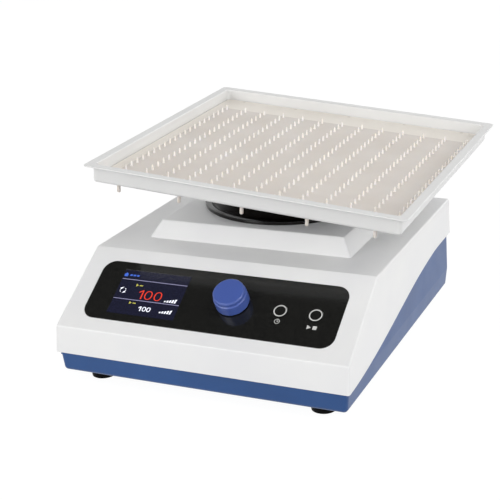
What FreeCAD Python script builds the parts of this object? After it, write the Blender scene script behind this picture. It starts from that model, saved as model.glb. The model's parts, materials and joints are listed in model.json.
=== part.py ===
import FreeCAD, Part
import math
import os

Vector = FreeCAD.Vector
Placement = FreeCAD.Placement
Rotation = FreeCAD.Rotation

os.makedirs("parts", exist_ok=True)

# Clearances and fits
panel_gap = 0.2
seam_gap = 0.4
lip_gap = 0.4
seat_gap = 0.2
slide_gap = 0.3
running_fit = 0.04
seat_fit = 0.02
screw_fit = 0.05
boolean_tolerance = 0.001

# Outer body
foot_height = 9.5
foot_radius = 11.6
foot_taper = 0.9
foot_from_side = 32.0
foot_from_end = 26.0
body_width = 276.0
body_depth = 312.0
side_draft = 1.44
front_draft = 6.74
base_front_height = 18.8
base_back_height = 56.2
front_face_height = 24.4
slope_length = 91.9
slope_angle = 31.9
cover_wall = 3.0
cover_edge_radius = 2.0
cover_step = 2.4
base_taper = 1.6
base_wall = 2.6
base_floor = 2.6
base_edge_radius = 4.0
lip_height = 6.0
curve_before_front = 9.0
curve_from_back = 34.0
seam_reach = 9.0

# Plinth on the cover and the clamp ring of the boot
plinth_setback = 35.7
plinth_run = 9.2
plinth_back_run = 5.0
plinth_back_ledge = 4.4
plinth_height = 15.5
plinth_margin = 10.4
plinth_opening_radius = 60.0
ring_radius = 80.0
ring_height = 3.2
ring_outer_wall = 1.7
ring_width = 6.0

# Waving motion
wave_tilt = 5.0
wave_direction = -17.6
crank_radius = 12.6
crank_pin_radius = 6.0
platform_rise = 59.2

# Tray and mat
tray_size = 300.0
tray_overhang = 6.3
tray_flange = 2.5
tray_height = 16.9
tray_wall = 2.7
tray_floor = 3.0
tray_corner_radius = 4.0
mat_backing = 3.4
mat_sheet = 1.2
mat_margin = 1.0
nipple_height = 6.4
nipple_radius = 1.7
nipple_tip_radius = 0.9
nipple_columns = 12
nipple_rows = 24
nipple_from_side = 23.3
nipple_from_end = 15.65
peg_radius = 1.6
peg_length = 7.8
peg_from_side = 20.8
peg_from_end = 3.6
support_size = 180.0
support_thickness = 4.0
support_corner = 12.0

# Control panel, measured on the slope
panel_width = 236.0
panel_length = 63.8
panel_from_edge = 13.4
panel_corner = 12.0
panel_thickness = 1.2
panel_recess = 1.0
display_width = 65.5
display_length = 47.4
display_across = -62.0
display_up = 31.5
display_frame = 4.2
knob_across = 18.5
knob_up = 34.1
knob_radius = 15.2
knob_top_radius = 14.1
knob_height = 15.0
knob_lift = 0.8
knob_travel = 0.5
key_radius = 6.6
key_proud = 0.4
key_flange = 1.4
key_travel = 0.8
key_start_across = 94.8
key_time_across = 62.7
key_up = 31.6
board_width = 216.0
board_length = 54.0
board_depth = 12.0
board_thickness = 1.6
post_radius = 2.5
encoder_size = 13.0
encoder_body_height = 6.5
bush_radius = 3.5
shaft_radius = 3.0
nut_radius = 5.5
nut_height = 2.0

# Drive under the cover
frame_height = 49.8
frame_thickness = 3.0
frame_from_foot = 19.8
frame_half_width = 108.0
frame_foot = 14.0
motor_offset = 72.0
motor_radius = 27.0
motor_above_floor = 4.0
motor_shaft_radius = 3.0
pulley_lift = 3.0
pulley_height = 12.0
drive_pulley_radius = 10.0
driven_pulley_radius = 30.0
pulley_flange = 1.6
belt_thickness = 2.0
belt_width = 8.0
main_shaft_radius = 6.0
bearing_radius = 14.0
bearing_height = 8.0
housing_wall = 6.0
housing_flange_radius = 32.0
housing_flange = 6.0
housing_lip = 2.0
housing_lip_radius = 10.0
housing_above_floor = 8.0
collar_radius = 9.0
head_radius = 34.0
head_height = 20.0
head_gap = 1.2
shaft_depth_in_head = 8.5
pin_depth_in_head = 8.5
hub_wall = 8.0
hub_length = 36.0
hub_flange_radius = 50.0
hub_flange = 4.0
hub_shoulder_radius = 11.0
hub_recess = 8.1
head_boss_radius = 9.0
pin_cap_radius = 10.0
pin_cap_height = 2.5
boot_wall = 2.4
boot_neck = 8.0
boot_foot = 1.2
band_width = 4.0
band_thickness = 1.4

# Rear connections and power supply
inlet_across = -88.0
inlet_up = 28.0
inlet_width = 27.0
inlet_tall = 19.8
inlet_depth = 17.0
inlet_flange = 5.0
inlet_plate = 2.0
inlet_cavity_width = 23.4
inlet_cavity_tall = 16.0
inlet_cavity_depth = 15.0
pin_width = 4.0
pin_thickness = 2.0
pin_length = 13.0
switch_across = -46.0
switch_width = 13.0
switch_tall = 19.0
switch_depth = 15.0
switch_flange = 1.8
rocker_angle = 8.0
rocker_half_tall = 7.6
rocker_half_width = 5.0
rocker_pivot_radius = 1.2
rear_pad_proud = 0.6
rear_pad_margin = 9.0
vent_count = 7
vent_pitch = 12.0
vent_width = 3.0
vent_tall = 22.0
vent_first = 34.0
supply_width = 98.0
supply_depth = 40.0
supply_height = 28.0
supply_from_front = 46.0
supply_across = -55.0
driver_width = 94.0
driver_length = 60.0
driver_across = 57.0
driver_lift = 6.0
screw_radius = 2.0
screw_head_radius = 3.6
screw_head_height = 2.4
boss_radius = 5.5
boss_from_side = 19.0
boss_from_end = 44.0
boss_joint_height = 14.0

# Derived heights and outlines of the body
case_bottom = foot_height
seam_front = case_bottom + base_front_height
seam_back = case_bottom + base_back_height
floor_top = case_bottom + base_floor
side_lean = math.tan(math.radians(side_draft))
front_lean = math.tan(math.radians(front_draft))
slope_rise = slope_length * math.sin(math.radians(slope_angle))
slope_run = slope_length * math.cos(math.radians(slope_angle))
front_edge_z = seam_front + front_face_height
front_edge_y = -body_depth / 2 + front_face_height * front_lean
slope_top_y = front_edge_y + slope_run
cover_top = front_edge_z + slope_rise
back_top_y = body_depth / 2 - (cover_top - seam_front) * side_lean
plinth_top = cover_top + plinth_height
plinth_front_y = slope_top_y + plinth_setback
axis_y = plinth_front_y + plinth_run + plinth_margin + ring_radius
plinth_half_top = ring_radius + plinth_margin
plinth_half_base = plinth_half_top + plinth_run
plinth_back_base = back_top_y - plinth_back_ledge
plinth_back_top = plinth_back_base - plinth_back_run

# Frame of the tilted platform: its local Z is the crank pin's axis and its origin the tray's top
wave_x = math.cos(math.radians(wave_direction))
wave_y = math.sin(math.radians(wave_direction))
frame_top = floor_top + frame_height
pulley_bottom = frame_top + pulley_lift
head_bottom = pulley_bottom + pulley_height + head_gap
head_top = head_bottom + head_height
platform_z = plinth_top + platform_rise
tray_orbit = crank_radius + (platform_z - head_top) * math.tan(math.radians(wave_tilt))
platform_x = tray_orbit * wave_x
platform_y = axis_y + tray_orbit * wave_y
wave_place = Placement(Vector(platform_x, platform_y, platform_z),
                       Rotation(Vector(-wave_y, wave_x, 0), wave_tilt))
slope_place = Placement(Vector(0, front_edge_y, front_edge_z), Rotation(Vector(1, 0, 0), slope_angle))
tray_inner_half = tray_size / 2 - tray_overhang - tray_wall
peg_pitch_x = (tray_inner_half - peg_from_side) / 2
peg_pitch_y = (tray_inner_half - peg_from_end) / 2
nipple_pitch_x = 2 * (tray_inner_half - nipple_from_side) / (nipple_columns - 1)
nipple_pitch_y = 2 * (tray_inner_half - nipple_from_end) / (nipple_rows - 1)


def box(x0, x1, y0, y1, z0, z1):
    return Part.makeBox(x1 - x0, y1 - y0, z1 - z0, Vector(x0, y0, z0))


def cylinder(radius, z0, z1, x=0.0, y=0.0):
    return Part.makeCylinder(radius, z1 - z0, Vector(x, y, z0))


def cone(radius0, radius1, z0, z1, x=0.0, y=0.0):
    return Part.makeCone(radius0, radius1, z1 - z0, Vector(x, y, z0))


def tube(outer, inner, z0, z1, x=0.0, y=0.0):
    return cylinder(outer, z0, z1, x, y).cut(cylinder(inner, z0 - 1, z1 + 1, x, y))


def prism_x(points, x0, x1):
    corners = [Vector(x0, y, z) for y, z in points]
    face = Part.Face(Part.makePolygon(corners + [corners[0]]))
    return face.extrude(Vector(x1 - x0, 0, 0))


def prism_y(points, y0, y1):
    corners = [Vector(x, y0, z) for x, z in points]
    face = Part.Face(Part.makePolygon(corners + [corners[0]]))
    return face.extrude(Vector(0, y1 - y0, 0))


def rounded_plate(x0, x1, y0, y1, z0, z1, radius):
    plate = box(x0, x1, y0, y1, z0, z1)
    upright = [e for e in plate.Edges if abs(e.BoundBox.ZLength - (z1 - z0)) < 0.001]
    return plate.makeFillet(radius, upright)


def inset(points, distance):
    """A convex outline, listed anticlockwise, moved inwards by a distance along every edge."""
    moved = []
    count = len(points)
    for i in range(count):
        lines = []
        for a, b in ((points[i - 1], points[i]), (points[i], points[(i + 1) % count])):
            length = math.hypot(b[0] - a[0], b[1] - a[1])
            nx = -(b[1] - a[1]) / length
            ny = (b[0] - a[0]) / length
            lines.append((nx, ny, nx * a[0] + ny * a[1] + distance))
        (a1, b1, c1), (a2, b2, c2) = lines
        d = a1 * b2 - a2 * b1
        moved.append(((c1 * b2 - c2 * b1) / d, (a1 * c2 - a2 * c1) / d))
    return moved


def moved_to(shape, place):
    copy = shape.copy()
    copy.Placement = place.multiply(copy.Placement)
    return copy


def save(name, shape):
    solids = shape.Solids
    if len(solids) != 1:
        print("WARNING", name, "has", len(solids), "solids")
    whole = solids[0] if len(solids) == 1 else shape
    if not whole.isValid():
        print("WARNING", name, "is not valid")
    whole.exportStep("parts/" + name + ".step")
    return whole


def half_width(z):
    return body_width / 2 - (z - seam_front) * side_lean


def front_y(z):
    return -body_depth / 2 + (z - seam_front) * front_lean


def back_y(z):
    return body_depth / 2 - (z - seam_front) * side_lean


def cover_block(distance, low):
    """The cover's drafted outer shape, moved inwards by a distance, from a lowest height."""
    start = low - distance
    side = [(front_y(start), start), (back_y(start), start), (back_top_y, cover_top),
            (slope_top_y, cover_top), (front_edge_y, front_edge_z)]
    front = [(-half_width(start), start), (half_width(start), start),
             (half_width(cover_top), cover_top), (-half_width(cover_top), cover_top)]
    long = prism_x(inset(side, distance), -body_width, body_width)
    across = prism_y(inset(front, distance), -body_depth, body_depth)
    return long.common(across)


def case_block(distance, low):
    """The lower case's outer shape, moved inwards by a distance, from a lowest height."""
    start = low - distance
    high = seam_back + 20
    half = body_width / 2 - cover_step
    deep = body_depth / 2 - cover_step
    front = [(base_taper - half, start), (half - base_taper, start), (half, seam_front),
             (half_width(high) - cover_step, high), (cover_step - half_width(high), high),
             (-half, seam_front)]
    side = [(base_taper - deep, start), (deep - base_taper, start), (deep, seam_front),
            (back_y(high) - cover_step, high), (front_y(high) + cover_step, high),
            (-deep, seam_front)]
    across = prism_y(inset(front, distance), -body_depth, body_depth)
    long = prism_x(inset(side, distance), -body_width, body_width)
    return across.common(long)


def below_seam(offset):
    """Everything under the curved seam between the cover and the lower case."""
    y0 = -body_depth
    y1 = -body_depth / 2 - curve_before_front
    y2 = body_depth / 2 - curve_from_back
    y3 = body_depth
    x0 = -body_width
    points = []
    for i in range(9):
        t = i / 8.0
        rise = t * t * (3 - 2 * t)
        z = seam_front + offset + (seam_back - seam_front) * rise
        points.append(Vector(x0, y1 + (y2 - y1) * t, z))
    curve = Part.BSplineCurve()
    curve.interpolate(Points=points, InitialTangent=Vector(0, 1, 0), FinalTangent=Vector(0, 1, 0))
    corners = [Vector(x0, y2, points[-1].z), Vector(x0, y3, points[-1].z), Vector(x0, y3, -100),
               Vector(x0, y0, -100), Vector(x0, y0, points[0].z), Vector(x0, y1, points[0].z)]
    edges = [curve.toShape()]
    for a, b in zip(corners, corners[1:]):
        edges.append(Part.makeLine(a, b))
    face = Part.Face(Part.Wire(edges))
    return face.extrude(Vector(2 * body_width, 0, 0))


def plinth_block(distance, low):
    """The plinth's sloping block, with each side moved inwards by a distance."""
    lean = plinth_run / plinth_height
    back_lean = plinth_back_run / plinth_height
    top = plinth_top - distance
    move = distance * math.hypot(1, lean)
    wires = []
    for z in (low, top):
        up = plinth_top - z
        half = plinth_half_top + up * lean - move
        y0 = axis_y - plinth_half_top - up * lean + move
        y1 = plinth_back_top + up * back_lean - move
        corners = [Vector(-half, y0, z), Vector(half, y0, z), Vector(half, y1, z), Vector(-half, y1, z)]
        wires.append(Part.makePolygon(corners + [corners[0]]))
    return Part.makeLoft(wires, True, True)


# Places shared by several pieces
boss_places = []
foot_places = []
for sx, sy, tag in ((-1, -1, "front_left"), (1, -1, "front_right"), (-1, 1, "back_left"), (1, 1, "back_right")):
    boss_x = sx * (body_width / 2 - boss_from_side)
    boss_y = sy * (body_depth / 2 - boss_from_end)
    boss_places.append((tag, boss_x, boss_y))
    foot_x = sx * (body_width / 2 - foot_from_side)
    foot_y = sy * (body_depth / 2 - foot_from_end)
    foot_places.append((tag, foot_x, foot_y))
boss_joint = floor_top + boss_joint_height
panel_x0 = -panel_width / 2
panel_y0 = panel_from_edge
panel_y1 = panel_from_edge + panel_length
panel_floor = -panel_recess
panel_face = panel_floor + panel_thickness
display_x0 = display_across - display_width / 2
display_x1 = display_across + display_width / 2
display_y = panel_from_edge + display_up
display_y0 = display_y - display_length / 2
display_y1 = display_y + display_length / 2
knob_y = panel_from_edge + knob_up
key_y = panel_from_edge + key_up
board_y = panel_from_edge + panel_length / 2
board_top = -board_depth
rear_pad_y = body_depth / 2 - cover_step + rear_pad_proud
inlet_z = case_bottom + inlet_up
driver_y0 = -body_depth / 2 + supply_from_front
plate_bottom = frame_top - frame_thickness
housing_bottom = floor_top + housing_above_floor
motor_bottom = floor_top + motor_above_floor
motor_x = -motor_offset
housing_radius = bearing_radius + housing_wall
frame_half_length = body_depth / 2 - foot_from_end - axis_y - frame_from_foot

# Lower case: a drafted tray whose edge rises in an S towards the back
outer = case_block(0.0, case_bottom)
upright = [e for e in outer.Edges if e.BoundBox.ZLength > 5]
low_edges = [e for e in outer.Edges if e.BoundBox.ZMax < case_bottom + 0.01]
outer = outer.makeFillet(base_edge_radius, upright + low_edges)
case = outer.common([below_seam(-seam_gap)], boolean_tolerance)
lip = cover_block(cover_wall + lip_gap, seam_front - 3).common([below_seam(lip_height)], boolean_tolerance)
case = case.fuse(lip).cut(case_block(base_wall, floor_top))
pad_x0 = inlet_across - inlet_width / 2 - rear_pad_margin
pad_x1 = switch_across + switch_width / 2 + rear_pad_margin
pad_z0 = inlet_z - inlet_tall / 2 - rear_pad_margin / 2
pad_z1 = inlet_z + inlet_tall / 2 + rear_pad_margin / 2
added = [box(pad_x0, pad_x1, rear_pad_y - base_wall - 2, rear_pad_y, pad_z0, pad_z1)]
holes = []
for tag, x, y in boss_places:
    added.append(cylinder(boss_radius, floor_top - 0.5, boss_joint - seat_gap, x, y))
    holes.append(cylinder(screw_radius + slide_gap, 0, boss_joint + 5, x, y))
    holes.append(cylinder(screw_head_radius + slide_gap, 0, case_bottom + screw_head_height + 0.4, x, y))
for tag, x, y in foot_places:
    added.append(cylinder(boss_radius, floor_top - 0.5, floor_top + 7, x, y))
    holes.append(cylinder(screw_radius + screw_fit, 0, floor_top + 5, x, y))
for x in (driver_across - driver_width / 2 + 6, driver_across + driver_width / 2 - 6):
    for y in (driver_y0 + 6, driver_y0 + driver_length - 6):
        added.append(cylinder(post_radius, floor_top - 0.5, floor_top + driver_lift, x, y))
for i in range(vent_count):
    x = vent_first + i * vent_pitch
    z = seam_back - 12
    holes.append(box(x - vent_width / 2, x + vent_width / 2, rear_pad_y - 10, rear_pad_y + 10, z - vent_tall, z))
    x = i * vent_pitch - (vent_count - 1) * vent_pitch / 2
    holes.append(box(x - vent_width / 2, x + vent_width / 2, -50, -50 + 2 * vent_tall, 0, floor_top + 1))
for x, wide, tall in ((inlet_across, inlet_width, inlet_tall), (switch_across, switch_width, switch_tall)):
    half = wide / 2 + panel_gap
    up = tall / 2 + panel_gap
    holes.append(box(x - half, x + half, rear_pad_y - 10, rear_pad_y + 5, inlet_z - up, inlet_z + up))
case = case.fuse(added).cut(holes)
save("lower_case", case)

# Rubber feet and their screws
for tag, x, y in foot_places:
    foot = cone(foot_radius - foot_taper, foot_radius, 0, foot_height, x, y)
    foot = foot.cut(cylinder(screw_head_radius + slide_gap, -1, screw_head_height + 1, x, y))
    foot = foot.cut(cylinder(screw_radius + screw_fit, -1, foot_height + 1, x, y))
    save("foot_" + tag, foot)
    screw = cylinder(screw_radius, screw_head_height + 0.5, floor_top + 4.5, x, y)
    screw = screw.fuse(cylinder(screw_head_radius, 1.0, screw_head_height + 1, x, y))
    save("foot_screw_" + tag, screw)

# Screws that hold the cover down
for tag, x, y in boss_places:
    screw = cylinder(screw_radius, case_bottom + 0.5, boss_joint + 9, x, y)
    screw = screw.fuse(cylinder(screw_head_radius, case_bottom + 0.4,
                                case_bottom + 0.4 + screw_head_height, x, y))
    save("cover_screw_" + tag, screw)

# Top cover: a drafted shell with a sloping front, its plinth and the seam's curved lower edge
outer = cover_block(0.0, seam_front)
edges = [e for e in outer.Edges if e.BoundBox.ZMax > seam_front + 1]
outer = outer.makeFillet(cover_edge_radius, edges)
plinth = plinth_block(0.0, cover_top - 1)
edges = [e for e in plinth.Edges if e.BoundBox.ZMax > cover_top]
plinth = plinth.makeFillet(cover_edge_radius, edges)
cover = outer.fuse(plinth)
cavity = cover_block(cover_wall, seam_front - 2)
cavity = cavity.fuse(plinth_block(cover_wall, cover_top - cover_wall - 1))
cover = cover.cut(cavity)
added = []
holes = []
for tag, x, y in boss_places:
    added.append(cylinder(boss_radius, boss_joint, cover_top + 5, x, y).common(outer))
    holes.append(cylinder(screw_radius + screw_fit, boss_joint - 1, boss_joint + 10, x, y))
for x in (-board_width / 2 + 4, board_width / 2 - 4):
    for y in (board_y - board_length / 2 + 5, board_y + board_length / 2 - 5):
        added.append(moved_to(cylinder(post_radius, board_top, -cover_wall + 0.5, x, y), slope_place))
recess = rounded_plate(panel_x0 - panel_gap, -panel_x0 + panel_gap, panel_y0 - panel_gap, panel_y1 + panel_gap,
                       panel_floor, 10, panel_corner + panel_gap)
local = [recess,
         box(display_x0 - 0.8, display_x1 + 0.8, display_y0 - 0.8, display_y1 + 0.8, -10, 5),
         cylinder(bush_radius + slide_gap, -10, 5, knob_across, knob_y),
         cylinder(key_radius + slide_gap, -10, 5, key_time_across, key_y),
         cylinder(key_radius + slide_gap, -10, 5, key_start_across, key_y)]
for hole in local:
    holes.append(moved_to(hole, slope_place))
holes.append(cylinder(plinth_opening_radius, cover_top - 10, plinth_top + 10, 0, axis_y))
edge_x = body_width / 2 - seam_reach
edge_y = body_depth / 2 - seam_reach
edge = box(-edge_x, edge_x, -edge_y, edge_y, -body_depth, body_depth)
holes.append(below_seam(0.0).cut(edge))
cover = cover.fuse(added).cut(holes)
save("top_cover", cover)

# Control panel: overlay, display, board, encoder and keys, all built flat and then laid on the slope
panel = rounded_plate(panel_x0, -panel_x0, panel_y0, panel_y1, panel_floor, panel_face, panel_corner)
panel = panel.cut([
    box(display_x0 - panel_gap, display_x1 + panel_gap, display_y0 - panel_gap, display_y1 + panel_gap, -5, 5),
    cylinder(bush_radius + slide_gap, -5, 5, knob_across, knob_y),
    cylinder(key_radius + slide_gap, -5, 5, key_time_across, key_y),
    cylinder(key_radius + slide_gap, -5, 5, key_start_across, key_y)])
save("front_panel", moved_to(panel, slope_place))
window = box(display_x0, display_x1, display_y0, display_y1, panel_floor, panel_face)
save("display_window", moved_to(window, slope_place))
module = box(display_x0 - 0.5, display_x1 + 0.5, display_y0 - 0.5, display_y1 + 0.5, board_top, panel_floor)
module = module.fuse(box(display_x0 - display_frame, display_x1 + display_frame, display_y0 - display_frame,
                         display_y1 + display_frame, board_top, -cover_wall - seat_gap))
save("display_module", moved_to(module, slope_place))
board = box(-board_width / 2, board_width / 2, board_y - board_length / 2, board_y + board_length / 2,
            board_top - board_thickness, board_top)
board = board.cut(cylinder(shaft_radius + slide_gap, -30, 0, knob_across, knob_y))
save("control_board", moved_to(board, slope_place))
half = encoder_size / 2
encoder_top = board_top + encoder_body_height
sleeve_top = encoder_top - 1.5
encoder = box(knob_across - half, knob_across + half, knob_y - half, knob_y + half, board_top, encoder_top)
encoder = encoder.fuse(cylinder(bush_radius, encoder_top - 1, panel_face + nut_height + 0.6, knob_across, knob_y))
encoder = encoder.cut([
    cylinder(shaft_radius + 1.5 + running_fit, board_top - 1, sleeve_top + running_fit, knob_across, knob_y),
    cylinder(shaft_radius + running_fit - 0.02, board_top - 1, 10, knob_across, knob_y)])
save("encoder_body", moved_to(encoder, slope_place))
nut = tube(nut_radius, bush_radius + seat_fit, panel_face, panel_face + nut_height, knob_across, knob_y)
save("encoder_nut", moved_to(nut, slope_place))
sleeve = tube(shaft_radius + 1.5, shaft_radius + running_fit, board_top, sleeve_top, knob_across, knob_y)
save("encoder_sleeve", moved_to(sleeve, slope_place))
knob_bottom = panel_face + knob_lift
knob_top = knob_bottom + knob_height
knob_step = knob_top - 4.2
profile = [(0, knob_top), (knob_top_radius - 0.8, knob_top), (knob_top_radius, knob_top - 0.8),
           (knob_top_radius, knob_step + 0.6), (knob_top_radius - 0.5, knob_step),
           (knob_radius - 0.9, knob_step - 0.5), (knob_radius - 0.2, knob_step - 1.4),
           (knob_radius, knob_bottom + 0.5), (knob_radius - 0.5, knob_bottom), (0, knob_bottom)]
corners = [Vector(r, 0, z) for r, z in profile]
face = Part.Face(Part.makePolygon(corners + [corners[0]]))
knob = face.revolve(Vector(0, 0, 0), Vector(0, 0, 1), 360)
knob = knob.cut(cylinder(nut_radius + 1.0, knob_bottom - 1, panel_face + nut_height + 2.2))
knob = knob.fuse(cylinder(shaft_radius - 0.02, board_top + 0.6 + knob_travel, knob_top - 4))
knob.translate(Vector(knob_across, knob_y, 0))
save("knob", moved_to(knob, slope_place))
flange_top = -cover_wall - seat_gap
key_bottom = flange_top - key_flange
for name, x in (("time", key_time_across), ("start", key_start_across)):
    cap = cylinder(key_radius, key_bottom, panel_face + key_proud - 0.2, x, key_y)
    cap = cap.fuse(cylinder(key_radius + 1.4, key_bottom, flange_top, x, key_y))
    save("key_" + name, moved_to(cap, slope_place))
    switch = box(x - 3, x + 3, key_y - 3, key_y + 3, board_top, board_top + 3.5)
    switch = switch.fuse(cylinder(1.75, board_top + 3, key_bottom - key_travel - seat_gap, x, key_y))
    save("key_switch_" + name, moved_to(switch, slope_place))

# Mains inlet with its three pins
def rear_box(x, z, half_x, half_z, y0, y1):
    return box(x - half_x, x + half_x, rear_pad_y + y0, rear_pad_y + y1, z - half_z, z + half_z)


inlet = rear_box(inlet_across, inlet_z, inlet_width / 2, inlet_tall / 2, -inlet_depth, 0.5)
inlet = inlet.fuse(rear_box(inlet_across, inlet_z, inlet_width / 2 + inlet_flange,
                            inlet_tall / 2 + inlet_flange / 2, 0, inlet_plate))
inlet = inlet.cut(rear_box(inlet_across, inlet_z, inlet_cavity_width / 2, inlet_cavity_tall / 2,
                           inlet_plate - inlet_cavity_depth, inlet_plate + 1))
pin_floor = inlet_plate - inlet_cavity_depth
for name, dx, dz in (("live", -7.0, -1.0), ("neutral", 7.0, -1.0), ("earth", 0.0, 3.0)):
    pin = rear_box(inlet_across + dx, inlet_z + dz, pin_thickness / 2, pin_width / 2,
                   -inlet_depth - 3, pin_floor + pin_length)
    inlet = inlet.cut(pin)
    save("inlet_pin_" + name, pin)
save("mains_inlet", inlet)

# Power switch: frame and rocker on two trunnions
frame = rear_box(switch_across, inlet_z, switch_width / 2, switch_tall / 2, -switch_depth, 0.5)
frame = frame.fuse(rear_box(switch_across, inlet_z, switch_width / 2 + switch_flange,
                            switch_tall / 2 + switch_flange, 0, inlet_plate - 0.2))
rocker_room = rocker_half_tall + 0.7
frame = frame.cut(rear_box(switch_across, inlet_z, rocker_half_width + slide_gap, rocker_room,
                           2 - switch_depth, inlet_plate + 1))
pivot = Part.makeCylinder(rocker_pivot_radius, 2 * rocker_half_width + 1.6,
                          Vector(switch_across - rocker_half_width - 0.8, rear_pad_y - 2, inlet_z), Vector(1, 0, 0))
socket = Part.makeCylinder(rocker_pivot_radius + running_fit, 2 * rocker_half_width + 1.8,
                           Vector(switch_across - rocker_half_width - 0.9, rear_pad_y - 2, inlet_z), Vector(1, 0, 0))
save("switch_frame", frame.cut(socket))
outline = [(-8.0, -3.0), (2.0, -rocker_half_tall), (5.2, -rocker_half_tall), (3.4, 0.0),
           (5.2, rocker_half_tall), (2.0, rocker_half_tall), (-8.0, 3.0)]
outline = [(rear_pad_y - 2 + y, inlet_z + z) for y, z in outline]
rocker = prism_x(outline, switch_across - rocker_half_width, switch_across + rocker_half_width).fuse(pivot)
rocker.rotate(Vector(0, rear_pad_y - 2, inlet_z), Vector(1, 0, 0), rocker_angle)
save("rocker", rocker)

# Power supply and motor driver in the front of the case
supply = box(supply_across - supply_width / 2, supply_across + supply_width / 2, driver_y0,
             driver_y0 + supply_depth, floor_top, floor_top + supply_height)
save("power_supply", supply)
driver = box(driver_across - driver_width / 2, driver_across + driver_width / 2, driver_y0,
             driver_y0 + driver_length, floor_top + driver_lift, floor_top + driver_lift + board_thickness)
save("drive_board", driver)

# Drive frame: a folded steel bridge that carries the motor and the bearing housing
y0 = axis_y - frame_half_length
y1 = axis_y + frame_half_length
bridge = box(-frame_half_width, frame_half_width, y0, y1, plate_bottom, frame_top)
for sign in (-1, 1):
    inner = sign * (frame_half_width - frame_thickness)
    outer_x = sign * frame_half_width
    toe = sign * (frame_half_width - frame_foot)
    leg = box(min(inner, outer_x), max(inner, outer_x), y0, y1, floor_top, frame_top)
    flat = box(min(toe, outer_x), max(toe, outer_x), y0, y1, floor_top, floor_top + frame_thickness)
    bridge = bridge.fuse([leg, flat])
bridge = bridge.cut([cylinder(collar_radius + slide_gap, 0, 100, 0, axis_y),
                     cylinder(motor_shaft_radius + 5, 0, 100, motor_x, axis_y)])
save("drive_frame", bridge)

# Motor, its shaft and pulley, the belt and the driven pulley
motor = cylinder(motor_radius, motor_bottom, plate_bottom, motor_x, axis_y)
motor = motor.fuse(cylinder(motor_shaft_radius + 4, plate_bottom - 1, plate_bottom + 1.5, motor_x, axis_y))
motor = motor.cut(cylinder(motor_shaft_radius + running_fit, motor_bottom + 5, 100, motor_x, axis_y))
save("motor", motor)
shaft_low = motor_bottom + 5.1
pulley_top = pulley_bottom + pulley_height
save("motor_shaft", cylinder(motor_shaft_radius, shaft_low, pulley_top + 1, motor_x, axis_y))
belt_low = pulley_bottom + (pulley_height - belt_width) / 2
belt_high = belt_low + belt_width


def pulley(radius, bore, x):
    wheel = cylinder(radius + belt_thickness + pulley_flange, pulley_bottom, pulley_top, x, axis_y)
    groove = tube(2 * radius + belt_thickness, radius, belt_low - slide_gap, belt_high + slide_gap, x, axis_y)
    return wheel.cut([groove, cylinder(bore, 0, 2 * pulley_top, x, axis_y)])


save("motor_pulley", pulley(drive_pulley_radius, motor_shaft_radius, motor_x))
save("driven_pulley", pulley(driven_pulley_radius, main_shaft_radius, 0.0))


def belt_loop(radius0, radius1, z0, z1):
    """The straight-sided loop round two pulleys, as one solid."""
    span = motor_offset
    lean = math.asin((radius1 - radius0) / span)
    c = math.cos(lean)
    s = math.sin(lean)
    small = Vector(motor_x, axis_y, z0)
    big = Vector(0, axis_y, z0)
    a = small + Vector(-s * radius0, c * radius0, 0)
    b = big + Vector(-s * radius1, c * radius1, 0)
    d = big + Vector(-s * radius1, -c * radius1, 0)
    e = small + Vector(-s * radius0, -c * radius0, 0)
    far = Part.Arc(b, big + Vector(radius1, 0, 0), d).toShape()
    near = Part.Arc(e, small + Vector(-radius0, 0, 0), a).toShape()
    wire = Part.Wire([Part.makeLine(a, b), far, Part.makeLine(d, e), near])
    return Part.Face(wire).extrude(Vector(0, 0, z1 - z0))


belt = belt_loop(drive_pulley_radius + running_fit + belt_thickness,
                 driven_pulley_radius + running_fit + belt_thickness, belt_low, belt_high)
belt = belt.cut(belt_loop(drive_pulley_radius + running_fit, driven_pulley_radius + running_fit,
                          belt_low - 1, belt_high + 1))
save("drive_belt", belt)

# Main bearings in their housing, under the bridge
seat = bearing_radius + seat_fit
housing = cylinder(housing_radius, housing_bottom, plate_bottom, 0, axis_y)
housing = housing.fuse(cylinder(housing_flange_radius, plate_bottom - housing_flange, plate_bottom, 0, axis_y))
housing = housing.cut([cylinder(seat, housing_bottom + housing_lip, plate_bottom + 1, 0, axis_y),
                       cylinder(housing_lip_radius, housing_bottom - 1, plate_bottom, 0, axis_y)])
save("bearing_housing", housing)
low = housing_bottom + housing_lip
bore = main_shaft_radius + running_fit
save("bearing_lower", tube(bearing_radius, bore, low, low + bearing_height, 0, axis_y))
save("bearing_upper", tube(bearing_radius, bore, plate_bottom - bearing_height, plate_bottom, 0, axis_y))
save("bearing_spacer", tube(bearing_radius, bearing_radius - 2, low + bearing_height,
                            plate_bottom - bearing_height, 0, axis_y))

# Main shaft and crank head
shaft_top = head_bottom + shaft_depth_in_head
shaft = cylinder(main_shaft_radius, housing_bottom + 0.5, shaft_top, 0, axis_y)
shaft = shaft.fuse(cylinder(collar_radius, plate_bottom + running_fit, pulley_bottom, 0, axis_y))
save("main_shaft", shaft)
lean = math.cos(math.radians(wave_tilt))
hub_top = -tray_height - support_thickness
hub_low = hub_top - hub_flange - hub_length
pin_low = -(platform_z - head_top + pin_depth_in_head) / lean
pin_top = hub_top - hub_recess
head = cylinder(head_radius, head_bottom, head_top, 0, axis_y)
head = head.fuse(moved_to(cylinder(head_boss_radius, -(platform_z - head_top + 4) / lean, hub_low - running_fit),
                          wave_place))
head = head.cut([cylinder(main_shaft_radius, 0, shaft_top, 0, axis_y),
                 moved_to(cylinder(crank_pin_radius, pin_low, 0), wave_place)])
save("crank_head", head)
save("crank_pin", moved_to(cylinder(crank_pin_radius, pin_low, pin_top), wave_place))
cap = cylinder(pin_cap_radius, pin_top, pin_top + pin_cap_height)
cap = cap.fuse(cylinder(screw_head_radius, pin_top + pin_cap_height - 0.5, pin_top + pin_cap_height + 2.5))
save("pin_cap", moved_to(cap, wave_place))

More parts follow.
